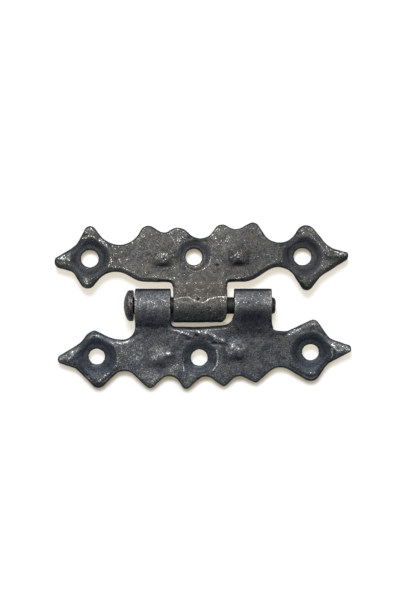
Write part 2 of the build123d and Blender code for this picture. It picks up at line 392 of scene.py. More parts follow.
@dataclass(frozen=True)
class Iron:
    """Blackened wrought iron, speckled and rubbed bright where hands and hammer touched it, with painted
    highlights, shade and sheen.
    """

    name: str  # the material's name
    deep: Colour  # colour of its darkest patches
    body: Colour  # colour of most of it
    stain: Colour  # colour of its stained patches
    fleck: Colour  # colour of the pale flecks
    soot_and_shade: Colour  # colour of pockets that nothing rubs, of dark grains and of painted shade
    scale: Colour  # colour of the smooth fire scale in dishes and on edges, and of the painted shade there
    copper_and_sheen: Colour  # warm colour of bare scale on rubbed edges, and of a painted sheen
    mottle: Pattern = Pattern(0.34, 3.0, 0.42, 0.58, 0.6)  # finest layer from deep to body
    cloud: Pattern = Pattern(1.2, 2.0, 0.36, 0.64, 0.22)  # the next layer between them
    blotch: Pattern = Pattern(4.5, 3.0, 0.36, 0.66, 0.18)  # the broadest layer between them
    stains: Pattern = Pattern(2.2, 3.0, 0.50, 0.66, 0.4)  # where it is stained
    scales: Pattern = Pattern(2.2, 3.0, 0.49, 0.34, 0.4)  # where thin scale is left
    grit: Pattern = Pattern(0.27, 2.0, 0.54, 0.62, 0.85)  # its dark grains
    flecks: Pattern = Pattern(0.27, 2.0, 0.722, 0.752)  # its pale flecks
    bared: float = 0.30  # how many more flecks wear and painted highlights bare
    rub: float = 0.12  # how pale wear and painted highlights make the skin between the flecks
    metallic: float = 0.85  # how far it reflects as metal does
    roughness: float = 0.62  # roughness of the dark skin
    polish: float = 0.5  # roughness of the flecks
    pitting: float = 0.08  # depth of the finest pits
    PIT_SIZE, PIT_DETAIL = 0.5, 4.0  # their width and finer layers

    def material(self) -> bpy.types.Material:
        """Makes the material.

        Returns:
            The material, ready to be put on a piece.
        """
        material = bpy.data.materials.new(self.name)
        nodes = Nodes(material)
        place = nodes.add("TexCoord").outputs["Object"]
        wear_and_highlight = nodes.trace(Trace.WEAR_AND_HIGHLIGHT)
        flecks = self.flecks.tone(nodes, place, nodes.math("MULTIPLY", wear_and_highlight, self.bared))

        skin = self.mottle.tone(nodes, place)
        for layer in (self.cloud, self.blotch):
            skin = nodes.math("ADD", skin, layer.tone(nodes, place))
        colour = nodes.mix(skin, self.deep, self.body)
        # Over the skin: fire scale and soot with their painted shade, wear with its painted highlights,
        # copper with its painted sheen
        for share, over in (
            (self.stains.tone(nodes, place), self.stain),
            (self.scales.tone(nodes, place), self.scale),
            (nodes.trace(Trace.SCALE), self.scale),
            (self.grit.tone(nodes, place), self.soot_and_shade),
            (nodes.math("MULTIPLY", wear_and_highlight, self.rub), self.fleck),
            (flecks, self.fleck),
            (nodes.trace(Trace.SOOT), self.soot_and_shade),
            (nodes.trace(Trace.COPPER_AND_SHEEN), self.copper_and_sheen),
        ):
            colour = nodes.mix(share, colour, over)

        pits = nodes.noise(place, self.PIT_SIZE, self.PIT_DETAIL)
        bump = nodes.add("Bump", {"Distance": self.pitting * MM, "Height": pits})
        shader = nodes.add("BsdfPrincipled", {
            "Base Color": colour,
            "Metallic": self.metallic,
            "Roughness": nodes.ramp(flecks, 0.0, 1.0, self.roughness, self.polish),
            "Normal": bump.outputs["Normal"],
        })
        nodes.add("OutputMaterial", {"Surface": shader.outputs["BSDF"]})
        return material


class HammeredMesh:
    """A piece's mesh as arrays, in millimetres, while the hammer shapes it."""

    def __init__(self, mesh: bpy.types.Mesh) -> None:
        """Reads the mesh.

        Args:
            mesh: The mesh, in millimetres.
        """
        self.mesh = mesh
        count = len(mesh.vertices)
        self.points = np.zeros(count * 3)
        mesh.vertices.foreach_get("co", self.points)
        self.points = self.points.reshape(-1, 3)
        ends = np.zeros(len(mesh.edges) * 2, dtype=np.int64)
        mesh.edges.foreach_get("vertices", ends)
        self.ends = ends.reshape(-1, 2)
        self.valence = np.maximum(np.bincount(ends, minlength=count), 1)
        self.normals = self._read_normals()
        self.edge = np.zeros(count)  # distance from the outline, set where a piece has one

    def _read_normals(self) -> Array:
        """Reads the normals of the mesh's points.

        Returns:
            One row for each point.
        """
        normals = np.zeros(len(self.mesh.vertices) * 3)
        self.mesh.vertex_normals.foreach_get("vector", normals)
        return normals.reshape(-1, 3)

    @property
    def plan(self) -> Array:
        """The points as seen from the front, as (x, y)."""
        return self.points[:, :2]

    def move(self, shifts: Array) -> None:
        """Moves the points and renews their normals.

        Args:
            shifts: A shift for each point.
        """
        self.points = self.points + shifts
        self.mesh.vertices.foreach_set("co", self.points.ravel())
        self.mesh.update()
        self.normals = self._read_normals()

    def raise_by(self, heights: Array) -> None:
        """Moves each point along its normal, as far as its height says."""
        self.move(self.normals * heights[:, None])

    def blurred(self, values: Array, rounds: int) -> Array:
        """Values averaged with those of their neighbours.

        Args:
            values: One row for each point.
            rounds: How often they are averaged.

        Returns:
            The averaged values.
        """
        first, second = self.ends.T
        count = len(self.points)
        for _ in range(rounds):
            columns = [
                np.bincount(first, values[second, i], count) + np.bincount(second, values[first, i], count)
                for i in range(values.shape[1])
            ]
            values = 0.5 * values + 0.5 * np.column_stack(columns) / self.valence[:, None]
        return values

    def keep(self, kind: Trace, values: Array) -> None:
        """Stores one trace of the forge, with the painted light and shade that it carries, on the mesh,
        from its value at each point.
        """
        attribute = self.mesh.attributes.new(kind.value, "FLOAT", "POINT")
        attribute.data.foreach_set("value", np.clip(values, 0.0, 1.0).astype(np.float32))

    def finished(self, name: str, low: Array, high: Array) -> bpy.types.Object:
        """Brings the mesh to metres and puts it in the scene.

        Args:
            name: The piece's name.
            low: Lowest corner that the piece may reach.
            high: Highest corner that the piece may reach.

        Returns:
            The piece, at the origin.
        """
        self.points = np.clip(self.points, low, high)
        self.mesh.vertices.foreach_set("co", (self.points * MM).ravel())
        self.mesh.polygons.foreach_set("use_smooth", np.ones(len(self.mesh.polygons), dtype=bool))
        self.mesh.update()
        self.mesh.name = name
        return put_in_scene(name, self.mesh)


@dataclass(frozen=True)
class Crests:
    """What the crests and hollows of one size do to the tone of the iron, with soot and painted shade in
    the hollows.
    """

    rounds: int  # widens the ground that a point is measured against
    height: float  # how far a full crest stands out of that ground
    wear_and_highlight: float  # the most that a crest is rubbed bright, in full crests
    soot_and_shade: float  # the most that a hollow is darkened with soot and painted shade, in full crests

    def traces(self, iron: HammeredMesh) -> tuple[Array, Array]:
        """The wear on the crests, and the soot and painted shade in the hollows.

        Args:
            iron: The piece's mesh.

        Returns:
            Both, for each point.
        """
        ground = iron.blurred(iron.points, self.rounds)
        level = ((iron.points - ground) * iron.normals).sum(axis=1) / self.height
        return np.clip(level, 0.0, self.wear_and_highlight), np.clip(-level, 0.0, self.soot_and_shade)


@dataclass
class IronPiece:
    """A piece of the hinge, standing for one solid of the frame."""

    node: str  # the solid of the frame that it stands for
    body: str  # the body that it rides on
    slot: str  # the record's slot for its finish
    finish: Iron  # what it is made of

    def corners(self) -> tuple[Array, Array]:
        """Lowest and highest corner of its solid."""
        low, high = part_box(self.node)
        return np.array(low) / MM, np.array(high) / MM

    def dressed(self, iron: HammeredMesh) -> bpy.types.Object:
        """Dresses the piece and sets it on its body.

        Args:
            iron: The piece's mesh, hammered.

        Returns:
            The finished piece.
        """
        piece = iron.finished(self.node + "_iron", *self.corners())
        piece.data.materials.append(self.finish.material())
        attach(piece, self.body)
        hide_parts(self.node)
        return piece


@dataclass
class Leaf(IronPiece):
    """One leaf of the hinge: a star at each end, dished screw holes and rolled straps."""

    side: LeafSide  # the side of the rivet that it lies on
    dishes: tuple[Dish, ...]  # its screw holes
    bevels: tuple[Bevel, ...]  # stretches of its edge that are hammered down
    ridges: tuple[Ridge, ...]  # crests on its front
    hollows: tuple[HollowAndShade, ...]  # pockets, pits and darker patches on its front, some of them painted shade
    softenings: tuple[Softening, ...]  # places where sharp forms are rounded off
    fleck_patches: tuple[FleckPatch, ...]  # patches of flecks
    grain_size: float = 0.172  # width of the faces of its mesh
    sheet: float = 2.0  # thickness of the sheet
    barrel: float = 4.05  # outer radius of its knuckles
    bore: float = 2.05  # radius of its knuckles' bore
    swell: Marks = Marks(0.10, 6.5, 1, 1.0)  # the broad waves that the hammer left
    dents: Marks = Marks(0.06, 2.1, 2, 2.0)  # the hammer marks
    pits: Marks = Marks(0.03, 1.3, 3, 3.0)  # the finest roughness
    fine_crests: Crests = Crests(8, 0.06, 0.16, 0.3)  # what fine crests and hollows do to its tone
    broad_crests: Crests = Crests(60, 0.3, 0.12, 0.3)  # what broad crests and hollows do to its tone
    easing_rounds: int = 4  # how far all its edges are eased
    softening_rounds: int = 110  # how widely sharp forms are rounded off
    chamfer: float = 0.55  # width of the slope that the press left along the outline
    chamfer_fill: float = 0.5  # how far that slope is beaten up again
    edge_scale_and_shade: float = 0.75  # how far fire scale and painted shade cover the outline's edges
    edge_soot_and_shade: float = 0.45  # how dark the outline's edges are, with soot and painted shade
    edge_highlight: float = 0.4  # how bright the painted highlight inside the outline's north edges is
    wall_shade: float = 0.55  # how dark the painted shade on its walls is
    roll_shade: float = 0.7  # how dark the painted shade on the far side of its knuckles is
    # The upward part of a normal: on the front, the most that walls have, and how far their painted shade
    # spreads
    FRONT_BAND, WALL_LIMIT, WALL_SPREAD = (0.15, 0.6), 0.4, 0.35
    # The northward part of a normal at a north edge, and how far from the rivet's axis the sheet is flat
    NORTH_BAND, FLAT_BAND = (0.1, 0.35), (5.5, 6.5)
    # Room left round the bore, inside the barrel's skin, outside the barrel and round the screw holes
    BORE_ROOM, SKIN_ROOM, STRAP_ROOM, HOLE_ROOM = 0.3, 0.4, 0.6, 0.8
    # Inwards from the outline: the plain sheet, the width of the soot and painted shade, and the painted
    # highlight's middle and width
    EDGE_BAND, SOOT_WIDTH, LINE_MIDDLE, LINE_WIDTH = (0.12, 0.5), 0.34, 0.5, 0.22
    # Outwards from the barrel: the filled chamfer on this side and the painted shade on the far side
    CHAMFER_BAND, ROLL_BAND = (1.2, 1.7), (-0.7, -0.4)

    def build(self) -> bpy.types.Object:
        """Makes the leaf, dresses it and sets it on its body.

        Returns:
            The finished piece.
        """
        iron = HammeredMesh(self._even_copy())
        iron.move(iron.blurred(iron.points, self.easing_rounds) - iron.points)
        iron.edge = self._edge_distance(iron)
        self._soften(iron)
        self._hammer(iron)
        self._rub(iron)
        return self.dressed(iron)

    def _even_copy(self) -> bpy.types.Mesh:
        """A closed copy of the leaf's solid with an even, fine mesh.

        Returns:
            The mesh, in millimetres.
        """
        solid = bmesh.new()
        solid.from_mesh(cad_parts[self.node].data)
        bmesh.ops.scale(solid, vec=Vector((1.0, 1.0, 1.0)) / MM, verts=solid.verts)
        bmesh.ops.remove_doubles(solid, verts=solid.verts, dist=WELD)
        mesh = bpy.data.meshes.new(self.node + "_blank")
        solid.to_mesh(mesh)
        solid.free()
        blank = put_in_scene(mesh.name, mesh)
        modifier = blank.modifiers.new("even_grain", "REMESH")
        modifier.mode = "VOXEL"
        modifier.voxel_size = self.grain_size
        settled = blank.evaluated_get(bpy.context.evaluated_depsgraph_get())
        even = bpy.data.meshes.new_from_object(settled)
        bpy.data.objects.remove(blank)
        bpy.data.meshes.remove(mesh)
        return even

    def _facing(self, iron: HammeredMesh) -> Array:
        """How far each point faces the front, from 0 to 1."""
        return smooth_step(iron.normals[:, 2], *self.FRONT_BAND)

    def _outside_bore(self, iron: HammeredMesh) -> Array:
        """1 where the hammer can reach, falling to 0 in the bore that the rivet fills."""
        reach = np.linalg.norm(iron.points[:, 1:] - np.array([0.0, self.barrel]), axis=1)
        return smooth_step(reach, self.bore + self.BORE_ROOM, self.barrel - self.SKIN_ROOM)

    def _edge_distance(self, iron: HammeredMesh) -> Array:
        """Distance from the leaf's outline, in plan.

        Args:
            iron: The leaf's mesh, before it is hammered.

        Returns:
            The distance of each point.
        """
        plan = iron.plan
        wall = np.abs(iron.normals[:, 2]) < self.WALL_LIMIT
        wall &= plan[:, 1] * self.side.value > self.barrel + self.STRAP_ROOM
        for dish in self.dishes:
            wall &= dish.distance(plan) > dish.hole + self.HOLE_ROOM
        places = plan[wall]
        tree = kdtree.KDTree(len(places))
        for number, (x, y) in enumerate(places):
            tree.insert((x, y, 0.0), number)
        tree.balance()
        return np.array([tree.find((x, y, 0.0))[2] for x, y in plan])

    def _soften(self, iron: HammeredMesh) -> None:
        """Rounds off dishes, bumps and bends.

        Args:
            iron: The leaf's mesh.
        """
        weight = np.zeros(len(iron.points))
        for place in (*self.softenings, *self.dishes):
            weight = np.maximum(weight, place.softening(iron.plan))
        weight = weight * self._facing(iron) * self._outside_bore(iron)
        worn = iron.blurred(iron.points, self.softening_rounds)
        iron.move((worn - iron.points) * weight[:, None])

    def _hammer(self, iron: HammeredMesh) -> None:
        """Beats the bevels, crests, pockets and marks into the plain sheet.

        Args:
            iron: The leaf's mesh.
        """
        facing = self._facing(iron)
        plan = iron.plan
        fall = np.zeros(len(plan))
        plain = np.zeros(len(plan))
        for bevel in self.bevels:
            fall = np.maximum(fall, bevel.fall(plan, iron.edge))
            plain = np.maximum(plain, bevel.plain * bevel.zone(plan))
        away = smooth_step(np.abs(plan[:, 1]) - self.barrel, *self.CHAMFER_BAND)
        rise = self.chamfer_fill * np.clip(self.chamfer - iron.edge, 0.0, None) * (1.0 - plain)
        rise = rise * facing * away - fall * self._height_share(iron)
        iron.move(np.column_stack([np.zeros((len(rise), 2)), rise]))

        lift = np.zeros(len(plan))
        rough = self.pits.pattern(iron.points)
        for ridge in self.ridges:
            lift += ridge.rise(plan, rough)
        for dish in self.dishes:
            lift += dish.lip * dish.rim_share(plan) + dish.filling(plan)
        for hollow in self.hollows:
            lift -= hollow.depth * hollow.bell(plan)
        lift = lift * facing + self.pits.height * rough
        lift += self.swell.lift(iron.points) + self.dents.lift(iron.points)
        iron.raise_by(lift * self._outside_bore(iron))

    def _height_share(self, iron: HammeredMesh) -> Array:
        """How high each point lies in the sheet, which slopes from the barrel to the table.

        Args:
            iron: The leaf's mesh.

        Returns:
            From 0 at the sheet's back to 1 at its front.
        """
        outer = max(abs(corner[1]) for corner in self.corners())
        half = self.sheet / 2
        tilt = math.asin(self.barrel / math.hypot(outer, half)) - math.atan2(half, outer)
        across = np.abs(iron.points[:, 1]) * math.sin(tilt)
        height = (iron.points[:, 2] - self.barrel) * math.cos(tilt) + across
        return np.clip(height / self.sheet + 0.5, 0.0, 1.0)

    def _north_edge_highlight(self, iron: HammeredMesh) -> Array:
        """The painted highlight inside the outline's north edges, which face the light.

        Args:
            iron: The leaf's mesh, hammered.

        Returns:
            How bright each point is, from 0 to 1.
        """
        north = smooth_step(iron.normals[:, 1], *self.NORTH_BAND)
        flat = smooth_step(np.abs(iron.points[:, 1]), *self.FLAT_BAND)
        line = np.exp(-(((iron.edge - self.LINE_MIDDLE) / self.LINE_WIDTH) ** 2))
        return self.edge_highlight * north * flat * line

    def _painted_shade(self, iron: HammeredMesh) -> Array:
        """The soot and painted shade on the outline's edges, and the painted shade on the walls and on the
        far side of the knuckles.

        Args:
            iron: The leaf's mesh, hammered.

        Returns:
            How dark each point is, from 0 up.
        """
        rim = 1.0 - smooth_step(iron.edge, 0.0, self.SOOT_WIDTH)
        wall = np.exp(-((iron.normals[:, 2] / self.WALL_SPREAD) ** 2))
        rolled = smooth_step(-self.side.value * iron.points[:, 1] - self.barrel, *self.ROLL_BAND)
        return self.edge_soot_and_shade * rim + self.wall_shade * wall + self.roll_shade * rolled

    def _rub(self, iron: HammeredMesh) -> None:
        """Notes where the leaf is rubbed bright or carries a painted highlight, where it is sooty or in
        painted shade, where it is scaled, and where it is warm or carries a painted sheen.

        Args:
            iron: The leaf's mesh, hammered.
        """
        plan = iron.plan
        facing = self._facing(iron)
        inner = smooth_step(iron.edge, *self.EDGE_BAND)
        fine_wear, fine_soot_and_shade = self.fine_crests.traces(iron)
        broad_wear, broad_soot_and_shade = self.broad_crests.traces(iron)
        # Wear takes in the painted highlight inside the north edges; soot takes in the painted shade in
        # hollows, on edges, on walls and on the knuckles' far side
        wear_and_highlight = (fine_wear + broad_wear) * inner + self._north_edge_highlight(iron)
        soot_and_shade = fine_soot_and_shade + broad_soot_and_shade + self._painted_shade(iron)
        # Fire scale and painted shade on the edges, and in the dishes below
        scale = self.edge_scale_and_shade * (1.0 - inner)
        copper_and_sheen = np.zeros(len(plan))
        for patch in self.fleck_patches:
            wear_and_highlight += patch.wear_and_highlight * patch.bell(plan)
        for dish in self.dishes:
            wear_and_highlight += dish.brightness(plan)
            scale = np.maximum(scale, dish.scaled_and_shaded(plan))
        for ridge in self.ridges:
            share = ridge.share(plan)
            wear_and_highlight += ridge.wear_and_highlight * share
            copper_and_sheen += ridge.copper_and_sheen * share
        for hollow in self.hollows:
            soot_and_shade += hollow.soot_and_shade * hollow.bell(plan) * facing
        iron.keep(Trace.WEAR_AND_HIGHLIGHT, wear_and_highlight * facing)
        iron.keep(Trace.SOOT, soot_and_shade)
        iron.keep(Trace.SCALE, scale)
        iron.keep(Trace.COPPER_AND_SHEEN, copper_and_sheen * facing)


@dataclass
class Rivet(IronPiece):
    """The round-headed rivet through the knuckles, its plain end rounded over."""

    shank: float = 2.0  # radius of its shank
    head: float = 2.35  # thickness of its head
    brim: float = 0.85  # thickness of the head at its rim
    dome_steps: int = 12  # how many points the dome's section has
    ease: float = 0.15  # width of the eased edge under the head
    # Corners of the rounded end, back from its tip and in from the shank
    end: tuple[Point, ...] = ((0.7, 0.0), (0.2, 0.25), (0.0, 0.75))
    steps: int = 96  # how many faces go round it
    face: float = 0.25  # length of its faces
    dents: Marks = Marks(0.10, 1.7, 2, 5.0)  # the hammer marks on its ends
    sink: float = 0.6  # how far the marks go inwards on the whole
    pits: Marks = Marks(0.03, 0.6, 2, 6.0)  # the finest roughness on its ends
    crests: Crests = Crests(6, 0.02, 0.8, 0.6)  # what crests and hollows do to its tone
    rim_darkening: float = 0.72  # how much darker the head's rim is
    shank_shade: float = 0.7  # how dark the painted shade on the shank between the knuckles is
    shank_dulling: float = 0.5  # how far the shank's crests stay dull
    dome_copper: float = 0.17  # how warm the dome is
    # Outwards from the head's seat: the hammered head, its rim and its dome
    HEAD_BAND, RIM_BAND, DOME_BAND = (-0.3, 0.4), (-0.2, 0.1), (1.25, 1.6)
    # The shank inwards from the seat, and the hammered end outwards from the tip
    SHANK_BAND, END_BAND = (0.1, 0.4), (-1.2, -0.4)

    def build(self) -> bpy.types.Object:
        """Turns the rivet, hammers its ends and sets it on its body.

        Returns:
            The finished piece.
        """
        low, high = self.corners()
        iron = HammeredMesh(self._turned(low, high))
        outwards = low[0] + self.head - iron.points[:, 0]
        ends = smooth_step(outwards, *self.HEAD_BAND)
        ends += smooth_step(iron.points[:, 0] - high[0], *self.END_BAND)
        dents = self.dents.height * (self.dents.pattern(iron.points) - self.sink)
        iron.raise_by((dents + self.pits.lift(iron.points)) * ends)

        outwards = low[0] + self.head - iron.points[:, 0]
        dome = smooth_step(outwards, *self.DOME_BAND)
        rim = smooth_step(outwards, *self.RIM_BAND) * (1.0 - dome)
        shank = smooth_step(-outwards, *self.SHANK_BAND)
        wear_and_highlight, soot_and_shade = self.crests.traces(iron)
        iron.keep(Trace.WEAR_AND_HIGHLIGHT, wear_and_highlight * (1.0 - dome) * (1.0 - self.shank_dulling * shank))
        # Painted shade on the shank between the knuckles, and a darker rim on the head
        iron.keep(Trace.SOOT, soot_and_shade + self.rim_darkening * rim + self.shank_shade * shank)
        iron.keep(Trace.SCALE, np.zeros(len(dome)))
        iron.keep(Trace.COPPER_AND_SHEEN, self.dome_copper * dome)
        return self.dressed(iron)

    def _turned(self, low: Array, high: Array) -> bpy.types.Mesh:
        """The plain rivet, turned from its half section.

        Args:
            low: Lowest corner of the solid.
            high: Highest corner of the solid.

        Returns:
            The mesh, in millimetres.
        """
        radius = (high[2] - low[2]) / 2
        height = (high[2] + low[2]) / 2
        seat = low[0] + self.head
        dome = self.head - self.brim
        section = [(low[0] + dome * (1.0 - math.cos(turn)), radius * math.sin(turn))
                   for turn in np.linspace(0.0, math.pi / 2, self.dome_steps)]
        section += [(seat - self.ease, radius), (seat, radius - self.ease), (seat, self.shank)]
        section += [(high[0] - back, self.shank - inwards) for back, inwards in self.end]
        section.append((high[0], 0.0))
        turned = bmesh.new()
        verts = [turned.verts.new((x, reach, height)) for x, reach in section]
        edges = [turned.edges.new(pair) for pair in zip(verts, verts[1:])]
        for edge in edges:
            cuts = int(edge.calc_length() / self.face)
            if cuts:
                bmesh.ops.subdivide_edges(turned, edges=[edge], cuts=cuts)
        bmesh.ops.spin(turned, geom=turned.verts[:] + turned.edges[:], cent=(0.0, 0.0, height),
                       axis=(1.0, 0.0, 0.0), angle=2.0 * math.pi, steps=self.steps, use_merge=True)
        bmesh.ops.remove_doubles(turned, verts=turned.verts, dist=WELD)
        bmesh.ops.recalc_face_normals(turned, faces=turned.faces)
        mesh = bpy.data.meshes.new(self.node + "_blank")
        turned.to_mesh(mesh)
        turned.free()
        return mesh


@dataclass(frozen=True)
class Gloom(Patch):
    """A painted shadow on the table, where little light reaches between the knuckles."""

    share: float  # how dark it is
    BAND = (0.75, 1.1)  # in half-widths from the middle

    def light(self, nodes: Nodes, place: Socket) -> Socket:
        """Adds the nodes that tell how much light is left at each place.

        Args:
            nodes: The table's nodes.
            place: The table's own coordinates, in metres.

        Returns:
            From 1 outside down to what is left in the middle.
        """
        for operation, (x, y), z in (("SUBTRACT", self.centre, 0.0), ("DIVIDE", self.reach, 1.0)):
            node = nodes.add("VectorMath", {0: place, 1: (x * MM, y * MM, z)}, operation=operation)
            place = node.outputs["Vector"]
        length = nodes.add("VectorMath", {0: place}, operation="LENGTH")
        return nodes.ramp(length.outputs["Value"], *self.BAND, 1.0 - self.share, 1.0)


@dataclass
class Studio:
    """A white table, soft light from above and behind, and a camera straight above."""

    view_centre: Point = (-0.6, 1.2)  # middle of the picture on the table
    view_height: float = 143.2  # height of the picture on the hinge
    camera_distance: float = 400.0  # from the camera to the hinge
    hinge_height: float = 4.0  # height above the table at which the picture's size holds
    sensor: float = 36.0  # height of the camera's sensor
    nearest: float = 10.0  # nearest distance that the camera sees
    table_reach: float = 3.0  # half-width of the table, in metres
    table_gap: float = 0.05  # how far the table lies below the hinge
    table_glow: Colour = (0.68, 0.62, 0.50)  # what the table adds to its own light where it is looked at
    table_shade: Colour = (0.22, 0.17, 0.07)  # what is left of that beside the iron, as a painted shadow
    table_mirror: Colour = (0.40, 0.38, 0.34)  # what the iron mirrors of that, dimmed as painted shade under the hinge
    table_share: Colour = (0.38, 0.44, 0.56)  # colour of the table under the light, where it is looked at
    table_bounce: Colour = (0.2, 0.2, 0.2)  # colour of the table for the light that it throws back
    contact: float = 2.0  # how near iron darkens the table with a painted shadow
    contact_side: tuple[float, float, float] = (-0.1, 0.75, 0.65)  # the side on which that iron stands
    # Where the table is in shade and where it is clear, as the open share of that side
    contact_band: Band = (0.40, 0.97)
    # Parts of the table that stay dark between the knuckles, as painted shadow
    glooms: tuple[Gloom, ...] = (
        Gloom((-7.7, -1.4), (1.3, 3.4), 0.97),
        Gloom((-1.0, -4.7), (8.0, 1.5), 0.4),
    )
    # Colours of the light from all round, from in front of the hinge to behind it
    sky: tuple[tuple[float, Colour], ...] = (
        (0.0, (0.04, 0.05, 0.075)),
        (0.30, (0.10, 0.12, 0.16)),
        (0.50, (0.30, 0.31, 0.32)),
        (0.70, (0.50, 0.50, 0.49)),
        (1.0, (0.80, 0.79, 0.77)),
    )
    sky_level: float = 1.0  # strength of that light
    lamp_place: tuple[float, float, float] = (-0.05, 0.37, 0.67)  # where the lamp stands, in metres
    lamp_width: float = 0.24  # width of the lamp, in metres
    lamp_power: float = 5.3  # power of the lamp, in watts

    def build(self) -> None:
        """Sets the table, the light and the camera."""
        self._set_table()
        self._set_sky()
        self._set_lamp()
        self._set_camera()
        bpy.context.scene.view_settings.view_transform = "Standard"

    def _set_table(self) -> None:
        """A white table that keeps the hinge's shadow, clear from below."""
        flat = bmesh.new()
        bmesh.ops.create_grid(flat, x_segments=1, y_segments=1, size=self.table_reach)
        bmesh.ops.translate(flat, vec=(0.0, 0.0, -self.table_gap * MM), verts=flat.verts)
        mesh = bpy.data.meshes.new("table")
        flat.to_mesh(mesh)
        flat.free()
        table = put_in_scene("table", mesh)
        mesh.materials.append(self._table_material())

    def _table_material(self) -> bpy.types.Material:
        """The table's white, which glows where it is looked at, carries painted shadow beside the iron and
        is clear from below.

        Returns:
            The material.
        """
        material = bpy.data.materials.new("white_table")
        nodes = Nodes(material)
        path = nodes.add("LightPath").outputs
        seen = nodes.math("ADD", path["Is Camera Ray"], path["Is Glossy Ray"])
        seen = nodes.math("ADD", seen, path["Is Transmission Ray"])
        colour = nodes.mix(self._clear_side(nodes), self.table_shade, self.table_glow)
        colour = nodes.mix(path["Is Glossy Ray"], colour, self.table_mirror)
        place = nodes.add("TexCoord").outputs["Object"]
        strength = seen
        for gloom in self.glooms:
            strength = nodes.math("MULTIPLY", strength, gloom.light(nodes, place))
        glow = nodes.add("Emission", {"Color": colour, "Strength": strength})
        plain = nodes.add("BsdfDiffuse", {"Color": nodes.mix(seen, self.table_bounce, self.table_share)})
        both = nodes.add("AddShader", {0: glow.outputs["Emission"], 1: plain.outputs["BSDF"]})
        clear = nodes.add("MixShader", {
            "Fac": nodes.add("NewGeometry").outputs["Backfacing"],
            1: both.outputs["Shader"],
            2: nodes.add("BsdfTransparent").outputs["BSDF"],
        })
        nodes.add("OutputMaterial", {"Surface": clear.outputs["Shader"]})
        return material

    def _clear_side(self, nodes: Nodes) -> Socket:
        """Adds the nodes that tell where no iron stands close beside the table.

        Args:
            nodes: The table's nodes.

        Returns:
            From 0 in the iron's shade to 1 where it is clear.
        """
        side = nodes.add("CombineXYZ", dict(zip("XYZ", self.contact_side))).outputs["Vector"]
        inputs = {"Distance": self.contact * MM, "Normal": side}
        return nodes.ramp(nodes.add("AmbientOcclusion", inputs).outputs["AO"], *self.contact_band)

    def _set_sky(self) -> None:
        """Even light that is bright behind the hinge and dim in front of it."""
        world = bpy.data.worlds.new("studio")
        bpy.context.scene.world = world
        nodes = Nodes(world)
        split = nodes.add("SeparateXYZ", {"Vector": nodes.add("TexCoord").outputs["Generated"]})
        ramp = nodes.add("ValToRGB", {"Fac": nodes.math("MULTIPLY_ADD", split.outputs["Y"], 0.5, 0.5)})
        elements = ramp.color_ramp.elements
        present = len(elements)
        for number, (place, colour) in enumerate(self.sky):
            element = elements[number] if number < present else elements.new(place)
            element.position = place
            element.color = (*colour, 1.0)
        sky = nodes.add("Background", {"Color": ramp.outputs["Color"], "Strength": self.sky_level})
        nodes.add("OutputWorld", {"Surface": sky.outputs["Background"]})

    def _set_lamp(self) -> None:
        """A soft lamp above and behind the hinge."""
        lamp = bpy.data.lights.new("soft_lamp", "AREA")
        lamp.shape = "DISK"
        lamp.size = self.lamp_width
        lamp.energy = self.lamp_power
        holder = put_in_scene("soft_lamp", lamp)
        holder.location = self.lamp_place
        holder.rotation_euler = (-Vector(holder.location)).to_track_quat("-Z", "Y").to_euler()

    def _set_camera(self) -> None:
        """A camera straight above the hinge."""
        camera = bpy.data.cameras.new("camera")
        camera.sensor_fit = "VERTICAL"
        camera.sensor_height = self.sensor
        camera.lens = self.sensor * self.camera_distance / self.view_height
        camera.clip_start = self.nearest * MM
        holder = put_in_scene("camera", camera)
        height = self.hinge_height + self.camera_distance
        holder.location = (self.view_centre[0] * MM, self.view_centre[1] * MM, height * MM)
        bpy.context.scene.camera = holder


# Painted shade: the same iron as the lower leaf, made darker to offset the stronger light that its
# northward tilt catches
UPPER_IRON_PAINTED_DARKER = Iron(
    name="upper_leaf_iron",
    deep=(0.030, 0.030, 0.030),
    body=(0.122, 0.120, 0.111),
    stain=(0.108, 0.101, 0.081),
    fleck=(0.70, 0.70, 0.65),
    soot_and_shade=(0.018, 0.019, 0.022),
    scale=(0.048, 0.054, 0.066),
    copper_and_sheen=(0.46, 0.35, 0.29),
)
# Painted light: the same iron as the upper leaf, made lighter and bluer, with brighter flecks, for the
# light that its southward tilt loses
LOWER_IRON_PAINTED_LIGHTER = Iron(
    name="lower_leaf_iron",
    deep=(0.048, 0.053, 0.061),
    body=(0.225, 0.232, 0.238),
    stain=(0.185, 0.178, 0.145),
    fleck=(0.80, 0.81, 0.79),
    soot_and_shade=(0.016, 0.019, 0.026),
    scale=(0.060, 0.073, 0.097),
    copper_and_sheen=(0.42, 0.27, 0.21),
)
PIN_IRON = Iron(
    name="pin_iron",
    deep=(0.045, 0.042, 0.041),
    body=(0.135, 0.126, 0.120),
    stain=(0.120, 0.100, 0.092),
    fleck=(0.62, 0.60, 0.56),
    soot_and_shade=(0.010, 0.010, 0.012),
    scale=(0.03, 0.03, 0.033),
    copper_and_sheen=(0.42, 0.27, 0.21),
)

# Radii of the dishes' rims, on the stars and in the middle of each leaf
STAR_RIM, UPPER_RIM, LOWER_RIM = 4.8, 4.15, 4.2
# The points along the lower leaf's outer edge
LOWER_TEETH = ((-12.9, -20.3), (-4.2, -20.4), (5.0, -19.6), (12.9, -18.6))

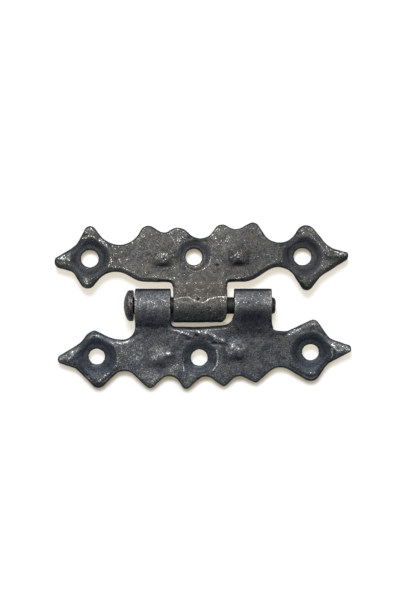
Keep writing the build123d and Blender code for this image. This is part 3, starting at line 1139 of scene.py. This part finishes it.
UPPER_LEAF = Leaf(
    node="upper_leaf",
    body="upper",
    slot="upper_leaf_iron",
    side=LeafSide.UPPER,
    finish=UPPER_IRON_PAINTED_DARKER,
    dishes=(
        Dish((-27.1, 11.25), STAR_RIM, lip=0.04, spread=0.5, wear_and_highlight=0.14, fill=0.15),
        Dish((-2.2, 11.5), UPPER_RIM, lip=0.02, spread=0.35, wear_and_highlight=0.05, scale=0.85, north_shade=0.9, fill=0.25),
        Dish((23.8, 11.75), STAR_RIM, lip=0.04, spread=0.5, wear_and_highlight=0.06, fill=0.15),
    ),
    bevels=(
        Bevel((-30.0, 11.2), (8.0, 11.0), 1.3, 0.2),
        Bevel((28.5, 11.5), (8.5, 11.0), 1.3, 0.2),
        Bevel((-8.9, 5.9), (1.7, 0.8), 0.42, 0.5, 1.0),
        Bevel((7.6, 5.9), (1.7, 0.8), 0.42, 0.5, 1.0),
    ),
    ridges=(
        Ridge(((-6.9, 1.45), (-5.2, 1.9), (-3.6, 2.05), (-1.9, 1.1), (-0.9, 0.85)),
              0.06, 0.12, 0.3, 0.4),
        Ridge(((-0.3, 0.65), (0.3, 0.7), (1.6, 1.65), (3.6, 2.1), (5.6, 2.05)), 0.06, 0.12, 0.3, 0.4),
        Ridge(((-5.6, 5.0), (3.9, 5.0)), 0.65, 1.7, lumps=0.0),
        # Painted sheen along the strap's rise, which faces the light
        Ridge(((-7.0, 4.3), (5.6, 4.3)), 0.0, 1.5, 0.0, 0.09),
        Ridge(((-35.0, 11.4), (-32.0, 11.0)), 0.28, 0.6, 0.22),
        Ridge(((30.0, 12.0), (34.2, 12.3)), 0.28, 0.6, 0.18),
        Ridge(((-28.0, 6.2), (-27.6, 5.2)), 0.18, 0.5, 0.25),
        Ridge(((-29.8, 15.5), (-27.5, 16.8), (-25.6, 16.0)), 0.12, 0.3, 0.14),
        Ridge(((6.8, 11.3), (8.4, 12.2), (10.0, 11.5)), 0.16, 1.3, 0.1),
        Ridge(((6.7, 11.3), (8.4, 12.6)), 0.10, 0.3, 0.25),
        Ridge(((-11.2, 11.7), (-7.7, 11.8)), 0.14, 1.2, 0.16),
        Ridge(((-4.8, 10.2), (-3.6, 8.7), (-1.9, 8.1), (0.0, 8.5), (1.4, 9.9), (1.9, 11.6)),
              0.05, 0.18, 0.3, lumps=0.5),
    ),
    hollows=(
        HollowAndShade((-1.15, 1.6), (0.3, 0.25), 0.25, 0.9),
        HollowAndShade((8.6, 9.8), (1.5, 0.6), 0.15, 0.5),
        HollowAndShade((-9.5, 9.5), (1.7, 0.5), 0.15, 0.5),
        HollowAndShade((-9.3, 11.2), (0.3, 0.3), 0.15, 0.5),
        HollowAndShade((3.4, 9.7), (0.45, 0.3), 0.15, 0.6),
        # Painted shade on the south sides of the right star's lower and right points
        HollowAndShade((24.6, 4.6), (2.2, 2.4), 0.0, 0.55),
        HollowAndShade((33.0, 11.0), (2.5, 1.0), 0.0, 0.42),
        HollowAndShade((-27.5, 11.0), (9.0, 9.0), 0.0, 0.14),
        HollowAndShade((25.5, 11.5), (10.0, 9.0), 0.0, 0.2),
        HollowAndShade((14.0, 12.0), (5.0, 6.0), 0.0, 0.12),
        HollowAndShade((-2.0, 15.3), (3.2, 1.1), 0.12, 0.45),
    ),
    softenings=(
        Softening((-9.5, 11.4), (3.4, 3.4)),
        Softening((8.55, 11.4), (3.2, 3.2), 0.7),
        Softening((-0.7, 4.6), (9.0, 2.4)),
    ),
    fleck_patches=(
        FleckPatch((-13.0, 12.0), (9.0, 6.0), 0.07),
        # Painted highlight on the strap's rise, which faces the light
        FleckPatch((-1.0, 4.4), (7.0, 2.2), 0.2),
        FleckPatch((-20.0, 9.5), (2.0, 2.0), 0.06),
        FleckPatch((15.0, 11.5), (7.0, 6.0), -0.14),
        FleckPatch((4.5, 16.0), (5.0, 2.5), 0.18),
        FleckPatch((-5.5, 15.5), (3.0, 2.0), 0.2),
        FleckPatch((-24.0, 15.0), (1.2, 1.2), 0.22),
        FleckPatch((-33.0, 11.3), (1.5, 1.0), 0.12),
    ),
)
LOWER_LEAF = Leaf(
    node="lower_leaf",
    body="lower",
    slot="lower_leaf_iron",
    side=LeafSide.LOWER,
    finish=LOWER_IRON_PAINTED_LIGHTER,
    dishes=(
        Dish((-25.4, -12.35), STAR_RIM, lip=0.04, spread=0.5, wear_and_highlight=0.08, fill=0.4),
        Dish((-0.9, -12.5), LOWER_RIM, lip=0.05, spread=0.35, wear_and_highlight=0.08, fill=0.3),
        Dish((25.7, -11.3), STAR_RIM, lip=0.04, spread=0.5, wear_and_highlight=0.05, fill=0.35),
    ),
    bevels=(
        Bevel((-28.5, -12.5), (8.5, 11.0), 1.3, 0.22),
        Bevel((29.5, -11.5), (8.5, 11.0), 1.3, 0.22),
        Bevel((-0.2, -5.4), (7.0, 1.0), 0.7, 0.6, 1.0),
        *(Bevel(tooth, (3.4, 2.6), 1.1, 0.2) for tooth in LOWER_TEETH),
    ),
    ridges=(
        Ridge(((-6.5, -5.9), (-5.8, -6.4), (-4.5, -6.6), (-3.4, -6.9), (-2.7, -7.4)), 0.20, 0.34, 0.35),
        Ridge(((-1.0, -6.45), (-0.1, -6.7), (1.7, -6.8), (2.7, -7.5)), 0.22, 0.48, 0.35),
        Ridge(((3.1, -8.0), (4.7, -8.25)), 0.24, 0.5, 0.3),
        Ridge(((-6.3, -8.3), (-6.1, -7.4), (-5.2, -6.7)), 0.08, 0.25, 0.25),
        Ridge(((-4.62, -12.4), (-4.75, -13.6), (-4.5, -15.7)), 0.07, 0.2, 0.5, lumps=0.5),
        Ridge(((3.28, -10.7), (3.6, -12.1), (3.3, -14.3), (2.3, -15.7)), 0.07, 0.2, 0.5, lumps=0.5),
        Ridge(((-3.4, -16.4), (-1.8, -17.2)), 0.05, 0.2, 0.35, lumps=0.5),
        Ridge(((7.2, -5.0), (16.4, -5.0)), 0.55, 1.4, lumps=0.0),
        Ridge(((-32.2, -12.9), (-31.2, -12.0)), 0.25, 0.45, 0.35),
        Ridge(((-28.4, -17.0), (-26.5, -17.9)), 0.10, 0.25, 0.4),
        Ridge(((-24.9, -18.2), (-22.5, -16.2)), 0.10, 0.25, 0.4),
        Ridge(((30.9, -9.5), (32.1, -10.9), (35.0, -10.8)), 0.26, 0.45, 0.32),
        Ridge(((21.0, -12.2), (22.6, -14.8), (24.8, -16.2), (27.0, -16.2)), 0.08, 0.3, 0.12),
        Ridge(((30.8, -10.4), (30.8, -12.4)), 0.10, 0.3, 0.3),
        Ridge(((25.7, -4.6), (27.0, -4.6)), 0.12, 0.4, 0.3),
        Ridge(((-12.0, -12.5), (-10.4, -12.2), (-7.9, -11.6)), 0.24, 0.55, 0.18),
        Ridge(((6.6, -10.6), (8.0, -10.2), (9.4, -10.9)), 0.30, 1.2, 0.05),
        Ridge(((17.0, -6.4), (20.5, -6.3), (24.0, -4.8)), 0.12, 0.4, 0.1),
        # Painted highlights along the end edges of the two outer knuckles, warm on the far right end
        Ridge(((-16.1, 2.4), (-16.1, -1.5)), 0.0, 0.2, 0.4),
        Ridge(((-7.8, 2.4), (-7.8, -1.8)), 0.0, 0.16, 0.65),
        Ridge(((7.6, 1.8), (7.6, -1.8)), 0.0, 0.16, 0.55),
        Ridge(((16.1, 3.4), (16.1, 0.6)), 0.0, 0.25, 0.25, 0.25),
    ),
    hollows=(
        HollowAndShade((-1.5, -7.1), (0.5, 0.35), 0.15, 0.5),
        HollowAndShade((2.7, -9.0), (0.6, 0.35), 0.20, 0.65),
        HollowAndShade((4.0, -9.2), (1.1, 0.4), 0.12, 0.3),
        HollowAndShade((-3.6, -8.0), (0.6, 0.4), 0.10, 0.4),
        HollowAndShade((0.0, -8.3), (2.4, 0.6), 0.10, 0.3),
        # Painted shadow on the notch's lip, under the middle knuckle
        HollowAndShade((-0.5, -5.3), (5.5, 0.45), 0.0, 0.5),
        HollowAndShade((-10.0, -14.2), (2.2, 1.0), 0.20, 0.4),
        HollowAndShade((8.6, -12.8), (1.2, 0.9), 0.10, 0.35),
        HollowAndShade((-26.0, -7.5), (0.3, 0.3), 0.2, 0.6),
        # Painted shade on the right knuckle's south side, at the left knuckle's root and on the two south
        # points
        HollowAndShade((11.8, -2.1), (5.2, 2.2), 0.0, 0.75),
        HollowAndShade((-12.0, -6.2), (4.0, 1.2), 0.0, 0.3),
        HollowAndShade((-25.5, -18.9), (2.2, 1.4), 0.0, 0.55),
        HollowAndShade((26.5, -17.6), (2.4, 1.4), 0.0, 0.32),
        HollowAndShade((-26.5, -13.5), (9.5, 8.0), 0.0, 0.12),
        HollowAndShade((26.5, -12.5), (9.5, 7.5), 0.0, 0.2),
        # Painted shade that dims the lamp's highlight on the outer knuckles' crests
        HollowAndShade((-11.9, 1.0), (4.4, 0.9), 0.0, 0.42),
        HollowAndShade((11.8, 1.0), (4.6, 0.9), 0.0, 0.46),
    ),
    softenings=(
        Softening((-10.4, -12.2), (3.4, 3.4)),
        Softening((7.85, -10.2), (3.4, 3.4)),
        Softening((11.8, -4.8), (6.0, 2.6)),
        Softening((-12.0, -4.8), (5.5, 1.6), 0.4),
    ),
    fleck_patches=(
        FleckPatch((-16.0, -12.0), (4.5, 3.5), 0.40),
        FleckPatch((-12.2, -17.0), (2.6, 1.8), 0.45),
        FleckPatch((-7.2, -14.8), (1.4, 1.2), 0.55),
        FleckPatch((-8.5, -11.2), (0.9, 0.6), 0.35),
        FleckPatch((7.6, -10.9), (2.2, 1.5), 0.27),
        FleckPatch((-12.0, 0.3), (4.3, 1.3), 0.16),
        FleckPatch((11.5, 1.0), (4.5, 0.7), 0.12),
        FleckPatch((29.6, -14.6), (1.2, 1.0), 0.4),
        FleckPatch((15.0, -11.0), (6.0, 5.0), -0.10),
    ),
    grain_size=0.183,
)
HINGE_PIN = Rivet(node="hinge_pin", body="lower", slot="pin_iron", finish=PIN_IRON)


def main() -> None:
    """Builds the hinge and its studio."""
    logging.basicConfig(level=logging.INFO, format="%(name)s: %(message)s")
    for part in (UPPER_LEAF, LOWER_LEAF, HINGE_PIN):
        piece = part.build()
        log.info("%s has %d faces and rides on %s", piece.name, len(piece.data.polygons), part.body)
    Studio().build()
    log.info("the table, light and camera are set")


if __name__ == "__main__":
    main()
